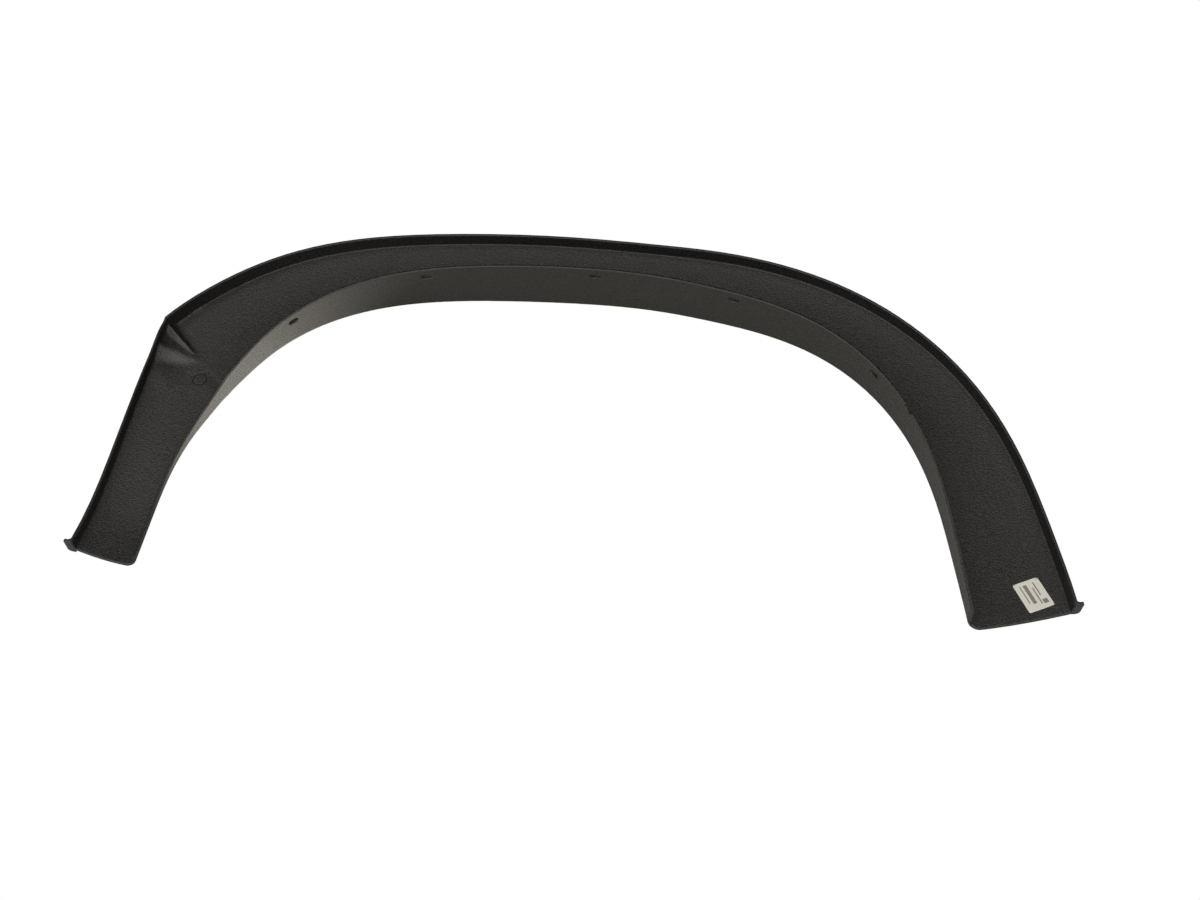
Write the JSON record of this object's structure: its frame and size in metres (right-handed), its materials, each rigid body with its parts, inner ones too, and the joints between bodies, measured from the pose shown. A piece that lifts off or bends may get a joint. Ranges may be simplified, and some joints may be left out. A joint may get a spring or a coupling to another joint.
{
  "type": "wheel arch trim molding",
  "caption": "Curved channel-section trim molding for a wheel opening, with a return flange slotted for clips, a cornered shoulder and out-turned tabs at the leg ends.",
  "frame": {"origin": "middle of the molding's outline seen from above, at the level of the surface it lies on", "axes": "+X along the car, from the cornered shoulder's leg to the plain leg; +Y from the leg ends to the crown of the arch; +Z from the show face, on which the molding lies, to its hollow back"},
  "size_m": [1.0779, 0.5225, 0.0732],
  "materials": {
    "molding_plastic": "fine grained, matte charcoal black",
    "label_paper": "matte off-white"
  },
  "bodies": {
    "root": {"arch_molding": "molding_plastic", "label": "label_paper"}
  },
  "joints": []
}
